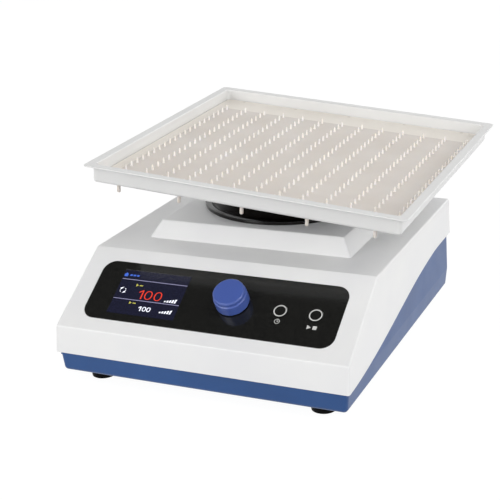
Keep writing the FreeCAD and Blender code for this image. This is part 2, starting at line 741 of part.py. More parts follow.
# Platform hub with its bearings, and the support plate
hub_radius = bearing_radius + hub_wall
hub = cylinder(hub_radius, hub_low, hub_top)
hub = hub.fuse(cylinder(hub_flange_radius, hub_top - hub_flange, hub_top))
upper_low = pin_top - running_fit - bearing_height
hub = hub.cut([cylinder(hub_shoulder_radius, hub_low - 1, hub_top + 1),
               cylinder(seat, hub_low - 1, hub_low + bearing_height),
               cylinder(seat, upper_low, hub_top + 1)])
save("platform_hub", moved_to(hub, wave_place))
bore = crank_pin_radius + running_fit
save("hub_bearing_lower", moved_to(tube(bearing_radius, bore, hub_low, hub_low + bearing_height), wave_place))
save("hub_bearing_upper", moved_to(tube(bearing_radius, bore, upper_low, upper_low + bearing_height), wave_place))
half = support_size / 2
plate = rounded_plate(-half, half, -half, half, hub_top, -tray_height, support_corner)
peg_places = []
for i in range(-2, 3):
    for j in range(-2, 3):
        if (i, j) != (0, 0):
            peg_places.append((i * peg_pitch_x, j * peg_pitch_y))
holes = [cylinder(hub_shoulder_radius, hub_top - 1, -tray_height + 1)]
for x, y in peg_places:
    if max(abs(x), abs(y)) < half:
        holes.append(cylinder(peg_radius + slide_gap, hub_top - 1, -tray_height + 1, x, y))
save("support_plate", moved_to(plate.cut(holes), wave_place))

# Tray with an outward flange, a backing sheet on its floor and the studded mat that pegs through both
half = tray_size / 2
wall_out = half - tray_overhang
wall_in = wall_out - tray_wall
floor_level = tray_floor - tray_height
body = rounded_plate(-wall_out, wall_out, -wall_out, wall_out, -tray_height, 0, tray_corner_radius)
body = body.makeFillet(tray_corner_radius * 0.7, [e for e in body.Edges if e.BoundBox.ZMax < 0.01 - tray_height])
tray = body.fuse(rounded_plate(-half, half, -half, half, -tray_flange, 0, tray_corner_radius))
holes = [rounded_plate(-wall_in, wall_in, -wall_in, wall_in, floor_level, 5, tray_corner_radius)]
for x, y in peg_places:
    holes.append(cylinder(peg_radius + screw_fit, -50, 0, x, y))
save("tray", moved_to(tray.cut(holes), wave_place))
half = wall_in - mat_margin
backing_top = floor_level + mat_backing
mat_top = backing_top + mat_sheet
backing = rounded_plate(-half, half, -half, half, floor_level, backing_top, tray_corner_radius - mat_margin)
holes = []
for x, y in peg_places:
    holes.append(cylinder(peg_radius + screw_fit, floor_level - 1, backing_top + 1, x, y))
save("mat_backing", moved_to(backing.cut(holes), wave_place))
mat = rounded_plate(-half, half, -half, half, backing_top, mat_top, tray_corner_radius - mat_margin)
added = []
for x, y in peg_places:
    added.append(cylinder(peg_radius, -tray_height - peg_length, backing_top + mat_sheet / 2, x, y))
for i in range(nipple_columns):
    x = (i - (nipple_columns - 1) / 2) * nipple_pitch_x
    for j in range(nipple_rows):
        y = (j - (nipple_rows - 1) / 2) * nipple_pitch_y
        added.append(cone(nipple_radius, nipple_tip_radius, mat_top, mat_top + nipple_height, x, y))
save("mat", moved_to(mat.fuse(added), wave_place))

# Rubber boot: clamped at its foot by a ring on the plinth and at its neck by a band on the hub
foot_out = ring_radius - ring_width - slide_gap
rim_out = ring_radius - ring_outer_wall - slide_gap
foot_low = plinth_top + slide_gap
foot_high = foot_low + boot_foot
neck_in = hub_radius + slide_gap
neck_out = neck_in + boot_wall
neck_high = hub_top - hub_flange - 2.0
neck_low = neck_high - boot_neck


def skirt(foot, neck):
    """A slanting funnel from a level circle at the foot to a tilted one at the neck."""
    level = Part.Wire(Part.makeCircle(foot, Vector(0, axis_y, foot_high)))
    tilted = Part.Wire(moved_to(Part.makeCircle(neck, Vector(0, 0, neck_low)), wave_place))
    return Part.makeLoft([level, tilted], True, True)


boot = skirt(foot_out, neck_out).fuse([cylinder(rim_out, foot_low, foot_high, 0, axis_y),
                                       moved_to(cylinder(neck_out, neck_low, neck_high), wave_place)])
boot = boot.cut([skirt(foot_out - boot_wall * 1.4, neck_in),
                 cylinder(foot_out - boot_wall * 1.4, foot_low - 1, foot_high, 0, axis_y),
                 moved_to(cylinder(neck_in, neck_low - 0.01, neck_high + 1), wave_place)])
save("boot", boot)
band_low = (neck_low + neck_high - band_width) / 2
band = tube(neck_out + band_thickness, neck_out, band_low, band_low + band_width)
save("boot_band", moved_to(band, wave_place))
ring = tube(ring_radius, ring_radius - ring_width, plinth_top, plinth_top + ring_height, 0, axis_y)
ring = ring.makeFillet(0.8, [e for e in ring.Edges if e.BoundBox.ZMin > plinth_top + ring_height - 0.01
                             and e.BoundBox.XLength > 2 * ring_radius - 1])
ring = ring.cut(cylinder(ring_radius - ring_outer_wall, plinth_top - 1, foot_high + slide_gap, 0, axis_y))
save("boot_ring", ring)
print("tray centre", round(platform_x, 2), round(platform_y, 2), round(platform_z, 2))
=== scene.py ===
import json
import math

import bmesh
import bpy
from mathutils import Matrix, Vector

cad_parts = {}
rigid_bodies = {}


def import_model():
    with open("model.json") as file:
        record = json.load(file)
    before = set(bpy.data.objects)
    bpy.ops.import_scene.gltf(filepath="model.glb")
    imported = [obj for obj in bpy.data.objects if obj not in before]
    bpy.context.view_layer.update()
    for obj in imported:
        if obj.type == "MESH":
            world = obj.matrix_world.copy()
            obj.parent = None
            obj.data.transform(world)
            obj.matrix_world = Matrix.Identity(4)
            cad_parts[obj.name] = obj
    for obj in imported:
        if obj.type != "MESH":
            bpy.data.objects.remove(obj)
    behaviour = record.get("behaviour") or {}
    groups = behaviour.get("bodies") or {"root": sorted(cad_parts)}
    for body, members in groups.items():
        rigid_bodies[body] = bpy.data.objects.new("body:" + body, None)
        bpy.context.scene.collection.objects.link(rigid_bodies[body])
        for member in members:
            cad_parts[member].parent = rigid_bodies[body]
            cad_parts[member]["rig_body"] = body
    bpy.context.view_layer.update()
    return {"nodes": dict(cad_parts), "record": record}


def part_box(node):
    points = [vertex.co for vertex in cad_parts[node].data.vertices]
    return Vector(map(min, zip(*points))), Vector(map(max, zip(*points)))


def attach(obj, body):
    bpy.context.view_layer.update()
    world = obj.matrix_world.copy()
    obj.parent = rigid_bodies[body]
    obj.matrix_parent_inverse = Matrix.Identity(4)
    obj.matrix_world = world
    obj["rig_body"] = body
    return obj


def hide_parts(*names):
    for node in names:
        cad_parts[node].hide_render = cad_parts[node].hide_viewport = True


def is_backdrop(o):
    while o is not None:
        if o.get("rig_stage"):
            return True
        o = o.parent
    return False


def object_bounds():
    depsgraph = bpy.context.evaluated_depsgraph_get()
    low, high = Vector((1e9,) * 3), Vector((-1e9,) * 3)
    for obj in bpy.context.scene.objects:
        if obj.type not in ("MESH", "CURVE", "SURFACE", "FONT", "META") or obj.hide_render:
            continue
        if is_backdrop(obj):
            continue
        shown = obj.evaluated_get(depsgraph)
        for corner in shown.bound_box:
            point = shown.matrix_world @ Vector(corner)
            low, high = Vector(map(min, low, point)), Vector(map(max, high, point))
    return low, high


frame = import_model()
nodes = frame["nodes"]

# Sizes and places are in millimetres and angles in degrees, but the camera and the lamps are in metres
mm = 0.001

# The sloping face with the panel: x across, y up the slope, z out of it
slope_angle = 31.9
slope_edge = Vector((0, -153.1164, 52.7))
slope_place = Matrix.Translation(slope_edge * mm) @ Matrix.Rotation(math.radians(slope_angle), 4, "X")

# The tilted platform: z is the crank pin's axis and the origin the middle of the tray's rim
wave_tilt = 5.0
wave_direction = -17.6
rim_middle = Vector((18.5035, 54.3345, 175.9635))
wave_turn = math.radians(wave_direction)
wave_axis = Vector((-math.sin(wave_turn), math.cos(wave_turn), 0))
wave_place = Matrix.Translation(rim_middle * mm) @ Matrix.Rotation(math.radians(wave_tilt), 4, wave_axis)

# The upright main shaft and the top of the plinth round it, measured from the bench
shaft_y = 60.2041
plinth_top = 116.7635
bench_place = Matrix.Identity(4)
plinth_place = Matrix.Translation(Vector((0, shaft_y, plinth_top)) * mm)

# Nearly all values of a noise lie between these two
noise_low = 0.3
noise_high = 0.7


def linear(code):
    """An sRGB hex colour as linear values."""
    values = []
    for i in (0, 2, 4):
        c = int(code[i:i + 2], 16) / 255
        values.append(c / 12.92 if c <= 0.04045 else ((c + 0.055) / 1.055) ** 2.4)
    return (*values, 1.0)


def darker(colour, share):
    """A linear colour with a share of its light."""
    return (*(c * share for c in colour[:3]), 1.0)


def scale_for(size):
    """The scale of a pattern whose features have a size in millimetres."""
    return 1000 / size


def node(tree, kind, settings=None, inputs=None):
    """One shader node with its settings, its inputs set to values or joined to outputs."""
    made = tree.nodes.new(kind)
    for key, value in (settings or {}).items():
        setattr(made, key, value)
    for key, value in (inputs or {}).items():
        if isinstance(value, bpy.types.NodeSocket):
            tree.links.new(value, made.inputs[key])
        else:
            made.inputs[key].default_value = value
    return made


def blank(name):
    """A new material with an empty tree, and its object coordinates in metres."""
    material = bpy.data.materials.new(name)
    material.use_nodes = True
    tree = material.node_tree
    tree.nodes.clear()
    place = node(tree, "ShaderNodeTexCoord")
    return material, tree, place.outputs["Object"]


def finish_material(tree, values):
    """The surface shader with its values, joined to the output."""
    shader = node(tree, "ShaderNodeBsdfPrincipled", inputs=values)
    node(tree, "ShaderNodeOutputMaterial", inputs={"Surface": shader.outputs["BSDF"]})


def between(tree, factor, low, high, hard):
    """Two colours blended by a factor, with a steeper change for a higher hardness."""
    ramp = node(tree, "ShaderNodeValToRGB", inputs={"Fac": factor})
    ramp.color_ramp.elements[0].position = hard
    ramp.color_ramp.elements[1].position = 1 - hard
    ramp.color_ramp.elements[0].color = low
    ramp.color_ramp.elements[1].color = high
    return ramp.outputs["Color"]


def moulded(name, colour, shade, rough, grain, depth, ior=1.53, cloud=60.0, extra=None):
    """Moulded plastic or rubber: grain of a size and a depth, slow drift of colour over a cloud's size, and
    patches 18 mm across that handling has polished."""
    material, tree, place = blank(name)
    grains = node(tree, "ShaderNodeTexNoise",
                  inputs={"Vector": place, "Scale": scale_for(grain), "Detail": 3.0})
    clouds = node(tree, "ShaderNodeTexNoise",
                  inputs={"Vector": place, "Scale": scale_for(cloud), "Detail": 2.0})
    rubs = node(tree, "ShaderNodeTexNoise",
                inputs={"Vector": place, "Scale": scale_for(18), "Detail": 3.0})
    gloss = node(tree, "ShaderNodeMapRange",
                 inputs={"Value": rubs.outputs["Fac"], "From Min": noise_low, "From Max": noise_high,
                         "To Min": rough - 0.02, "To Max": rough + 0.02})
    bump = node(tree, "ShaderNodeBump",
                inputs={"Height": grains.outputs["Fac"], "Strength": 0.6, "Distance": depth * mm})
    values = {"Base Color": between(tree, clouds.outputs["Fac"], linear(colour), linear(shade), 0.3),
              "Roughness": gloss.outputs["Result"], "Normal": bump.outputs["Normal"], "IOR": ior}
    values.update(extra or {})
    finish_material(tree, values)
    return material


# ABS cover, injection moulded in a spark-eroded tool: satin white whose grain breaks up the highlights. The
# real grain is about 0.1 mm, and is drawn at 0.6 mm so that it shows
white_abs = moulded("white_abs_eroded", "EFEFEE", "EAEAEB", rough=0.34, grain=0.6, depth=0.02)

# ABS tray from a polished tool: a white a little smoother and glossier than the cover's
tray_abs = moulded("white_abs_polished", "E4E4E3", "E0E0DF", rough=0.30, grain=1.2, depth=0.006)

# Mass-coloured blue ABS of the lower case, with the cover's grain
blue_abs = moulded("blue_abs_eroded", "224F8A", "1E4880", rough=0.36, grain=0.6, depth=0.02, ior=1.47)

# Knob of blue ABS, smooth with a soft shine
knob_abs = moulded("blue_abs_knob", "4A62AE", "465CA4", rough=0.30, grain=0.5, depth=0.01)

# Black glass-filled polyamide of the inlet, switch and encoder: dull, with a coarse grain
black_nylon = moulded("black_polyamide", "1B1B1C", "141415", rough=0.52, grain=0.8, depth=0.04)

# Moulded rubber, black with carbon: hardly any shine, and a faint bloom that greys it in patches
black_rubber = moulded("black_rubber_moulded", "080809", "0C0C0C", rough=0.50, grain=0.7, depth=0.04,
                       ior=1.5, cloud=14.0, extra={"Specular IOR Level": 0.05})

# Boot of nitrile rubber from a polished tool: deep black, smoother than the feet
boot_rubber = moulded("black_nitrile_polished", "0A0706", "0E0B09", rough=0.30, grain=2.5, depth=0.02,
                      ior=1.5, cloud=20.0, extra={"Specular IOR Level": 0.05})

# Clamp ring of black acetal, turned and then polished: sharp, narrow highlights
black_acetal = moulded("black_acetal_polished", "0A0807", "0E0C0B", rough=0.12, grain=1.5, depth=0.01,
                       ior=1.48, cloud=30.0, extra={"Specular IOR Level": 0.35})

# Milky silicone mat: warm white, and light travels a millimetre or two through it
mat_silicone = moulded("milky_silicone_sheet", "E4DDD6", "DDD5CD", rough=0.48, grain=0.9, depth=0.03,
                       ior=1.41, cloud=45.0,
                       extra={"Subsurface Weight": 0.25, "Subsurface Radius": (0.9, 0.7, 0.5),
                              "Subsurface Scale": 0.002})

# The mat's thin studs let more light through, and that light is painted into their colour, so they are
# paler than the sheet
stud_silicone_painted_light = moulded("milky_silicone_studs", "F6F0EB", "F1EAE4", rough=0.42, grain=0.9, depth=0.02,
                        ior=1.41, cloud=45.0,
                        extra={"Subsurface Weight": 0.35, "Subsurface Radius": (0.9, 0.8, 0.6),
                               "Subsurface Scale": 0.002})

# Backing of the mat, filled silicone: plainer and whiter, seen as a strip beside the studded sheet
backing_silicone = moulded("filled_silicone_backing", "F3EDE4", "EFE8DE", rough=0.36, grain=1.2, depth=0.01,
                           ior=1.41)

# Motor can and supply box, painted: dark grey with the fine orange peel of sprayed enamel
dark_enamel = moulded("grey_sprayed_enamel", "2B2C2E", "242527", rough=0.38, grain=1.4, depth=0.03,
                      ior=1.5, cloud=25.0)


def metal(name, colour, rough, stretch, line, depth, shade=0.86):
    """Machined metal: tool lines of a width and a depth, drawn out along one or two axes, that also vary
    the shine, and stains 25 mm across of a darker shade."""
    material, tree, place = blank(name)
    drawn = node(tree, "ShaderNodeMapping", inputs={"Vector": place, "Scale": stretch})
    lines = node(tree, "ShaderNodeTexNoise",
                 inputs={"Vector": drawn.outputs["Vector"], "Scale": scale_for(line), "Detail": 4.0})
    stains = node(tree, "ShaderNodeTexNoise",
                  inputs={"Vector": place, "Scale": scale_for(25), "Detail": 3.0})
    gloss = node(tree, "ShaderNodeMapRange",
                 inputs={"Value": lines.outputs["Fac"], "From Min": noise_low, "From Max": noise_high,
                         "To Min": rough - 0.06, "To Max": rough + 0.08})
    bump = node(tree, "ShaderNodeBump",
                inputs={"Height": lines.outputs["Fac"], "Strength": 0.5, "Distance": depth * mm})
    clean = linear(colour)
    colours = between(tree, stains.outputs["Fac"], clean, darker(clean, shade), 0.3)
    finish_material(tree, {"Base Color": colours, "Metallic": 1.0, "Roughness": gloss.outputs["Result"],
                           "Normal": bump.outputs["Normal"]})
    return material


# Aluminium plate and turnings, machined and clear anodised: pale grey with fine lines across
aluminium = metal("aluminium_machined", "C9CBCE", rough=0.36, stretch=(1.0, 0.04, 1.0), line=0.5,
                  depth=0.01)

# Bearing rings of hardened chromium steel, ground: bright, with hair-fine rings
bearing_steel = metal("bearing_steel_ground", "B9BABD", rough=0.22, stretch=(0.1, 0.1, 1.0), line=0.3,
                      depth=0.004)

# Shafts and brackets of carbon steel, turned or rolled and oiled: grey with fine rings
shaft_steel = metal("carbon_steel_turned", "9A9C9F", rough=0.33, stretch=(0.1, 0.1, 1.0), line=0.4,
                    depth=0.01)

# Screws, zinc plated: cool bluish grey with cloudy patches
zinc_steel = metal("steel_zinc_plated", "A9ADB3", rough=0.30, stretch=(1.0, 1.0, 1.0), line=0.8,
                   depth=0.008, shade=0.75)

# Nickel plated brass pins: warm and bright
plated_brass = metal("brass_nickel_plated", "CDBB8C", rough=0.25, stretch=(1.0, 0.08, 1.0), line=0.4,
                     depth=0.006)


def panel_gloss():
    """Polycarbonate overlay, printed black on its back: deep gloss with hair scratches and a trace of dust,
    its specks drawn 2.6 mm apart so that they show."""
    material, tree, place = blank("polycarbonate_overlay")
    hairs = node(tree, "ShaderNodeTexNoise",
                 inputs={"Vector": place, "Scale": scale_for(1.2), "Detail": 6.0, "Distortion": 1.5})
    dust = node(tree, "ShaderNodeTexVoronoi", settings={"feature": "F1"},
                inputs={"Vector": place, "Scale": scale_for(2.6)})
    specks = between(tree, dust.outputs["Distance"], linear("1E1E1C"), linear("10100F"), 0.05)
    gloss = node(tree, "ShaderNodeMapRange",
                 inputs={"Value": hairs.outputs["Fac"], "From Min": noise_low, "From Max": noise_high,
                         "To Min": 0.09, "To Max": 0.17})
    finish_material(tree, {"Base Color": specks, "Roughness": gloss.outputs["Result"], "IOR": 1.58})
    return material


# Pixels of the display, drawn coarser than the real ones, of about 0.2 mm, so that they show
pixel = 0.6


def display_glow():
    """Display behind glass: a dark blue ground that glows faintly, cut into square pixels."""
    material, tree, place = blank("display_under_glass")
    pixels = node(tree, "ShaderNodeTexBrick", settings={"offset": 0.0, "squash": 1.0},
                  inputs={"Vector": place, "Scale": scale_for(pixel), "Mortar Size": 0.06,
                          "Brick Width": 1.0, "Row Height": 1.0, "Color1": linear("1A1B2E"),
                          "Color2": linear("1D1E33"), "Mortar": linear("0E0F1A")})
    finish_material(tree, {"Base Color": pixels.outputs["Color"], "Roughness": 0.12, "IOR": 1.52,
                           "Emission Color": pixels.outputs["Color"], "Emission Strength": 0.25})
    return material


def lit(name, colour, glow):
    """Lit marks of the display: their own light, cut by the same pixels as the ground."""
    material, tree, place = blank(name)
    light = linear(colour)
    pixels = node(tree, "ShaderNodeTexBrick", settings={"offset": 0.0, "squash": 1.0},
                  inputs={"Vector": place, "Scale": scale_for(pixel), "Mortar Size": 0.03,
                          "Brick Width": 1.0, "Row Height": 1.0, "Color1": light, "Color2": light,
                          "Mortar": darker(light, 0.7)})
    finish_material(tree, {"Base Color": pixels.outputs["Color"], "Roughness": 0.3, "IOR": 1.5,
                           "Emission Color": pixels.outputs["Color"], "Emission Strength": glow})
    return material


def printed(name, colour):
    """Screen-printed ink: matt, and slightly thinner in places."""
    material, tree, place = blank(name)
    film = node(tree, "ShaderNodeTexNoise",
                inputs={"Vector": place, "Scale": scale_for(0.7), "Detail": 2.0})
    full = linear(colour)
    colours = between(tree, film.outputs["Fac"], full, darker(full, 0.8), 0.3)
    bump = node(tree, "ShaderNodeBump",
                inputs={"Height": film.outputs["Fac"], "Strength": 0.3, "Distance": 0.01 * mm})
    finish_material(tree, {"Base Color": colours, "Roughness": 0.55, "IOR": 1.5,
                           "Normal": bump.outputs["Normal"]})
    return material


def circuit_board():
    """Glass-epoxy board under green solder mask, with copper areas about 5 mm across showing through."""
    material, tree, place = blank("glass_epoxy_board")
    copper = node(tree, "ShaderNodeTexVoronoi", settings={"feature": "DISTANCE_TO_EDGE"},
                  inputs={"Vector": place, "Scale": scale_for(5)})
    mask = between(tree, copper.outputs["Distance"], linear("2F8A5A"), linear("14532F"), 0.08)
    bump = node(tree, "ShaderNodeBump",
                inputs={"Height": copper.outputs["Distance"], "Strength": 0.3, "Distance": 0.03 * mm})
    finish_material(tree, {"Base Color": mask, "Roughness": 0.32, "IOR": 1.55,
                           "Normal": bump.outputs["Normal"]})
    return material


overlay = panel_gloss()
display = display_glow()
board = circuit_board()
white_ink = printed("white_ink", "D9D9D6")
rocker_ink = printed("white_rocker_ink", "E6E6E2")
glow_red = lit("display_red", "D2361F", 0.6)
glow_white = lit("display_white", "EEF0FA", 0.6)
glow_line = lit("display_line", "8E8CAC", 0.4)
glow_blue = lit("display_blue", "3E63C4", 0.45)
glow_yellow = lit("display_yellow", "B8B250", 0.4)

# Every solid of the construction gets the material of what it is made of
by_slot = {"white_abs": white_abs, "blue_abs": blue_abs, "knob_blue": knob_abs, "panel_black": overlay,
           "display_glass": display, "rubber_black": black_rubber, "ring_black": black_acetal,
           "mat_rubber": mat_silicone, "aluminium": aluminium, "bearing_steel": bearing_steel,
           "steel": shaft_steel, "screw_steel": zinc_steel, "motor_paint": dark_enamel,
           "board_green": board, "black_plastic": black_nylon, "brass_pin": plated_brass}
by_node = {"tray": tray_abs, "mat_backing": backing_silicone}
slot_of = {row["node"]: row["material_slot"] for row in frame["record"]["subparts"]}
for name, solid in nodes.items():
    solid.data.materials.clear()
    solid.data.materials.append(by_node.get(name, by_slot[slot_of[name]]))


def piece(name, bm, material, place, body, replaced=(), crease=35.0):
    """Makes the mesh, drawn in millimetres, an object in its place that rides on a body. Edges sharper than
    the crease stay sharp, and flat faces keep even shading beside rounded edges."""
    bmesh.ops.scale(bm, vec=(mm, mm, mm), verts=bm.verts[:])
    bmesh.ops.transform(bm, matrix=place, verts=bm.verts[:])
    mesh = bpy.data.meshes.new(name)
    bm.to_mesh(mesh)
    bm.free()
    mesh.materials.append(material)
    mesh.shade_smooth()
    mesh.set_sharp_from_angle(angle=math.radians(crease))
    made = bpy.data.objects.new(name, mesh)
    bpy.context.scene.collection.objects.link(made)
    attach(made, body)
    if replaced:
        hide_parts(*replaced)
    even = made.modifiers.new("even_normals", "WEIGHTED_NORMAL")
    even.keep_sharp = True


def vertices_of(result):
    """The vertices among what a bmesh operator made."""
    return [v for v in result["geom"] if isinstance(v, bmesh.types.BMVert)]


def turned(profile, steps, rounding=0.0, closed=False):
    """A shape turned about the z axis from (radius, height) points, its corners rounded first."""
    bm = bmesh.new()
    points = [bm.verts.new((r, 0, z)) for r, z in profile]
    pairs = list(zip(points, points[1:]))
    if closed:
        pairs.append((points[-1], points[0]))
    for pair in pairs:
        bm.edges.new(pair)
    if rounding:
        soft = points if closed else points[1:-1]
        bmesh.ops.bevel(bm, geom=soft, offset=rounding, offset_type="OFFSET", affect="VERTICES",
                        segments=3, profile=0.5, material=-1)
    bmesh.ops.spin(bm, geom=bm.verts[:] + bm.edges[:], cent=(0, 0, 0), axis=(0, 0, 1),
                   angle=2 * math.pi, steps=steps, use_merge=True)
    bmesh.ops.remove_doubles(bm, verts=bm.verts[:], dist=0.001)
    bmesh.ops.recalc_face_normals(bm, faces=bm.faces[:])
    return bm


def stacked(corner, levels, sides=4, corner_steps=6):
    """A rounded outline drawn up or down through levels, closed at both ends. A level is its half width,
    its height and the rounding of its edge."""
    bm = bmesh.new()
    wide, height, edge = levels[0]
    place = Matrix.Translation((0, 0, height)) @ Matrix.Rotation(math.pi / sides, 4, "Z")
    first = bmesh.ops.create_circle(bm, cap_ends=True, segments=sides,
                                    radius=wide / math.cos(math.pi / sides), matrix=place)
    bmesh.ops.bevel(bm, geom=first["verts"], offset=corner, offset_type="OFFSET", affect="VERTICES",
                    segments=corner_steps, profile=0.5, material=-1)
    cap = bm.faces[:][0]
    edges = [(cap.edges[:], edge)]
    for half, level, edge in levels[1:]:
        drawn = bmesh.ops.extrude_face_region(bm, geom=[cap])
        if len(edges) > 1:
            bmesh.ops.delete(bm, geom=[cap], context="FACES_ONLY")
        verts = vertices_of(drawn)
        cap = [f for f in drawn["geom"] if isinstance(f, bmesh.types.BMFace)][0]
        bmesh.ops.scale(bm, verts=verts, vec=(half / wide, half / wide, 1))
        bmesh.ops.translate(bm, verts=verts, vec=(0, 0, level - height))
        wide, height = half, level
        edges.append((cap.edges[:], edge))
    bmesh.ops.recalc_face_normals(bm, faces=bm.faces[:])
    for outline, edge in edges:
        if edge:
            bmesh.ops.bevel(bm, geom=outline, offset=edge, offset_type="OFFSET", affect="EDGES",
                            segments=3, profile=0.5, material=-1, clamp_overlap=True)
    return bm


def softened(name, width):
    """A copy of a solid, in metres as the frame has it, with its edges sharper than 40 degrees rounded,
    which stands for the solid."""
    bm = bmesh.new()
    bm.from_mesh(nodes[name].data)
    bmesh.ops.remove_doubles(bm, verts=bm.verts[:], dist=0.002 * mm)
    bmesh.ops.dissolve_limit(bm, angle_limit=math.radians(1), verts=bm.verts[:], edges=bm.edges[:])
    sharp = [e for e in bm.edges if len(e.link_faces) == 2 and e.calc_face_angle(0) > math.radians(40)]
    bmesh.ops.bevel(bm, geom=sharp, offset=width * mm, offset_type="OFFSET", affect="EDGES",
                    segments=2, profile=0.5, material=-1, clamp_overlap=True)
    bmesh.ops.scale(bm, vec=(1 / mm, 1 / mm, 1 / mm), verts=bm.verts[:])
    piece(name + "_soft", bm, by_slot[slot_of[name]], bench_place, nodes[name]["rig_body"],
          (name,))


def repeated(bm, places):
    """Moves all that the mesh holds to the first place, and repeats it at the others."""
    first = Vector(places[0])
    bmesh.ops.translate(bm, verts=bm.verts[:], vec=first)
    shape = bm.verts[:] + bm.edges[:] + bm.faces[:]
    for place in places[1:]:
        copy = bmesh.ops.duplicate(bm, geom=shape)
        bmesh.ops.translate(bm, verts=vertices_of(copy), vec=Vector(place) - first)


def joined(bm, other):
    """Adds another mesh to this one."""
    mesh = bpy.data.meshes.new("part")
    other.to_mesh(mesh)
    other.free()
    bm.from_mesh(mesh)
    bpy.data.meshes.remove(mesh)


def flat(outlines, low, high):
    """A thin mark: outlines filled in and raised from a low to a high level."""
    bm = bmesh.new()
    for outline in outlines:
        face = bm.faces.new([bm.verts.new((x, y, low)) for x, y in outline])
        raised = bmesh.ops.extrude_face_region(bm, geom=[face])
        bmesh.ops.translate(bm, verts=vertices_of(raised), vec=(0, 0, high - low))
    bmesh.ops.recalc_face_normals(bm, faces=bm.faces[:])
    return bm


def bar(x0, x1, y0, y1, lean=0.0):
    """The outline of a bar, leaned to the right by a share of its height."""
    return [(x0, y0), (x1, y0), (x1 + lean * (y1 - y0), y1), (x0 + lean * (y1 - y0), y1)]


def arc(x, y, inner, outer, start, end):
    """The outline of a piece of a ring, from a start to an end angle, in 14 steps."""
    turns = [math.radians(start + (end - start) * i / 14) for i in range(15)]
    out = [(x + outer * math.cos(t), y + outer * math.sin(t)) for t in turns]
    return out + [(x + inner * math.cos(t), y + inner * math.sin(t)) for t in reversed(turns)]


def circle_line(x, y, inner, outer):
    """The outlines of a whole ring, in two halves."""
    return [arc(x, y, inner, outer, -90, 90), arc(x, y, inner, outer, 90, 270)]


# Camera at the photograph's angle, in metres. The lens comes from a focal length and a width in pixels
focal_pixels = 1202.888
picture_width = 500
sensor_width = 36
azimuth, elevation, roll = math.radians(24.697), math.radians(19.514), math.radians(-2.673)
target = Vector((-0.023874, 0.019031, 0.076079))
distance = 1.159502
camera_data = bpy.data.cameras.new("camera")
camera_data.sensor_fit = "HORIZONTAL"
camera_data.sensor_width = sensor_width
camera_data.lens = focal_pixels * sensor_width / picture_width
camera_data.clip_start = 0.05
camera = bpy.data.objects.new("camera", camera_data)
bpy.context.scene.collection.objects.link(camera)
level_back = math.cos(elevation)
back = Vector((math.sin(azimuth) * level_back, -math.cos(azimuth) * level_back, math.sin(elevation)))
level_right = Vector((math.cos(azimuth), math.sin(azimuth), 0))
level_up = back.cross(level_right)
right = level_right * math.cos(roll) + level_up * math.sin(roll)
up = level_up * math.cos(roll) - level_right * math.sin(roll)
turn = Matrix((right, up, back)).transposed().to_4x4()
camera.matrix_world = Matrix.Translation(target + back * distance) @ turn
bpy.context.scene.camera = camera

# Tray with its flange turned outwards, its heights measured from its rim
tray_half = 150.0
tray_wall_out = 143.7
tray_wall_in = 141.0
tray_low = -16.9
tray_floor = -13.9
flange_low = -1.5
tray = stacked(4.0, [(tray_wall_out, tray_low, 2.6), (tray_wall_out, flange_low - 0.2, 0.6),
                     (tray_half, flange_low, 0.6), (tray_half, 0.0, 0.7), (tray_wall_in + 0.4, 0.0, 1.2),
                     (tray_wall_in, tray_floor, 1.0)])
piece("tray_shell", tray, tray_abs, wave_place, "platform", ("tray",))

# Mat: a sheet against the front and right walls, and pegs that hold it, down through the tray
sheet_half = 134.0
sheet_low, sheet_high = -10.5, -9.3
sheet_deep = 0.903
sheet_middle = (5.6, -17.0, 0)
sheet = stacked(3.0, [(sheet_half, sheet_low, 0.0), (sheet_half, sheet_high, 0.5)])
bmesh.ops.scale(sheet, vec=(1.0, sheet_deep, 1.0), verts=sheet.verts[:])
bmesh.ops.translate(sheet, vec=sheet_middle, verts=sheet.verts[:])
peg_radius = 1.6
peg_low, peg_high = -24.7, -10.45
peg_pitch_x, peg_pitch_y = 60.1, 68.7
peg_places = []
for i in range(-2, 3):
    for j in range(-2, 3):
        if (i, j) != (0, 0):
            peg_places.append((peg_pitch_x * i, peg_pitch_y * j, 0))
pegs = turned([(0, peg_low), (0.9, peg_low), (peg_radius, peg_low + 0.8), (peg_radius, peg_high),
               (0, peg_high)], 12)
repeated(pegs, peg_places)
joined(sheet, pegs)
piece("mat_sheet", sheet, mat_silicone, wave_place, "platform", ("mat",))

# Studs of the mat, in columns and rows from the front left one
stud_columns, stud_rows = 13, 22
stud_pitch_x, stud_pitch_y = 21.5, 10.9
stud_first_x, stud_first_y = -123.2, -129.9
stud_low = sheet_high - 0.2
stud_top = -4.5
stud_places = []
for i in range(stud_columns):
    for j in range(stud_rows):
        stud_places.append((stud_pitch_x * i + stud_first_x, stud_pitch_y * j + stud_first_y, 0))
studs = turned([(0, stud_low), (1.3, stud_low), (1.2, stud_low + 0.4), (0.95, stud_low + 1.0),
                (0.75, stud_top - 1.1), (0.6, stud_top - 0.4), (0.3, stud_top - 0.1), (0, stud_top)], 10)
repeated(studs, stud_places)
piece("mat_studs", studs, stud_silicone_painted_light, wave_place, "platform", crease=60)

